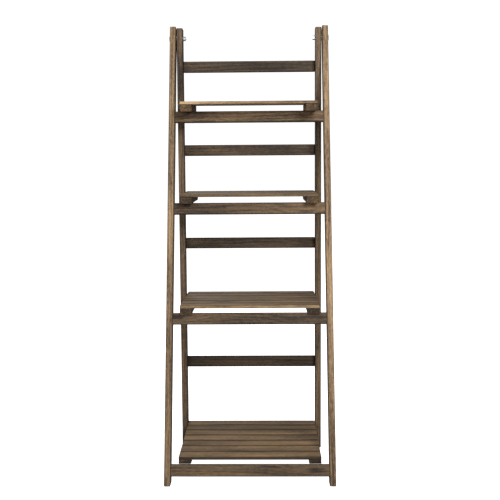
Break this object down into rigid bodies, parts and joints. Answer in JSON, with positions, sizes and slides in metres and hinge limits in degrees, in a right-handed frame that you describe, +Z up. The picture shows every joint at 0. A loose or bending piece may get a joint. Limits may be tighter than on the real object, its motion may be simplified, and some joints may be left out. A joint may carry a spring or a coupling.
{
  "type": "folding plant ladder stand",
  "caption": "Folding wooden ladder stand for plants: a leaning front ladder frame bolted to an upright back one, with hinged slatted shelves that deepen towards the floor.",
  "frame": {"origin": "on the floor, under the middle of the whole stand", "axes": "+X across the stand to the viewer's right, +Y from its front to its back, +Z up from the floor"},
  "size_m": [0.4046, 0.3388, 1.094],
  "materials": {
    "leg_wood": "thin brushed-on stain, matt, grain showing",
    "rail_wood": "thin brushed-on stain, matt, grain showing",
    "back_wood": "thin brushed-on stain, matt, grain showing",
    "slat_wood": "thin brushed-on stain, matt, grain showing",
    "batten_wood": "thin brushed-on stain, matt, grain showing",
    "zinc": "bright zinc plate"
  },
  "bodies": {
    "back_frame": {"back_leg_left": "back_wood", "back_leg_right": "back_wood", "back_rail_1": "back_wood", "back_rail_2": "back_wood", "back_rail_3": "back_wood", "back_rail_4": "back_wood", "pivot_bolt_left": "zinc", "pivot_bolt_right": "zinc", "pivot_nut_left": "zinc", "pivot_nut_right": "zinc", "pivot_washer_left": "zinc", "pivot_washer_right": "zinc", "pivot_spacer_left": "zinc", "pivot_spacer_right": "zinc"},
    "front_frame": {"front_leg_left": "leg_wood", "front_leg_right": "leg_wood", "front_rail_1": "rail_wood", "front_rail_2": "rail_wood", "front_rail_3": "rail_wood", "front_rail_4": "rail_wood"},
    "shelf_1": {"shelf_1_batten_left": "batten_wood", "shelf_1_batten_right": "batten_wood", "shelf_1_screw_left": "zinc", "shelf_1_screw_right": "zinc", "shelf_1_slat_1": "slat_wood", "shelf_1_slat_2": "slat_wood", "shelf_1_slat_3": "slat_wood", "shelf_1_slat_4": "slat_wood"},
    "shelf_2": {"shelf_2_batten_left": "batten_wood", "shelf_2_batten_right": "batten_wood", "shelf_2_screw_left": "zinc", "shelf_2_screw_right": "zinc", "shelf_2_slat_1": "slat_wood", "shelf_2_slat_2": "slat_wood", "shelf_2_slat_3": "slat_wood", "shelf_2_slat_4": "slat_wood", "shelf_2_slat_5": "slat_wood"},
    "shelf_3": {"shelf_3_batten_left": "batten_wood", "shelf_3_batten_right": "batten_wood", "shelf_3_screw_left": "zinc", "shelf_3_screw_right": "zinc", "shelf_3_slat_1": "slat_wood", "shelf_3_slat_2": "slat_wood", "shelf_3_slat_3": "slat_wood", "shelf_3_slat_4": "slat_wood", "shelf_3_slat_5": "slat_wood", "shelf_3_slat_6": "slat_wood"},
    "shelf_4": {"shelf_4_batten_left": "batten_wood", "shelf_4_batten_right": "batten_wood", "shelf_4_screw_left": "zinc", "shelf_4_screw_right": "zinc", "shelf_4_slat_1": "slat_wood", "shelf_4_slat_2": "slat_wood", "shelf_4_slat_3": "slat_wood", "shelf_4_slat_4": "slat_wood", "shelf_4_slat_5": "slat_wood", "shelf_4_slat_6": "slat_wood", "shelf_4_slat_7": "slat_wood"}
  },
  "joints": [
    {"name": "frame_fold", "type": "hinge", "parent": "back_frame", "child": "front_frame", "pos_m": [0, 0.11876, 1.064], "axis": [1, 0, 0], "range_deg": [0, 10.6]},
    {"name": "shelf_1_fold", "type": "hinge", "parent": "back_frame", "child": "shelf_1", "pos_m": [0, 0.11876, 0.88767], "axis": [-1, 0, 0], "range_deg": [0, 84.5]},
    {"name": "shelf_2_fold", "type": "hinge", "parent": "back_frame", "child": "shelf_2", "pos_m": [0, 0.11876, 0.66069], "axis": [-1, 0, 0], "range_deg": [0, 83.5]},
    {"name": "shelf_3_fold", "type": "hinge", "parent": "back_frame", "child": "shelf_3", "pos_m": [0, 0.11876, 0.39414], "axis": [-1, 0, 0], "range_deg": [0, 84]},
    {"name": "shelf_4_fold", "type": "hinge", "parent": "back_frame", "child": "shelf_4", "pos_m": [0, 0.11876, 0.05179], "axis": [-1, 0, 0], "range_deg": [0, 85.5]}
  ]
}
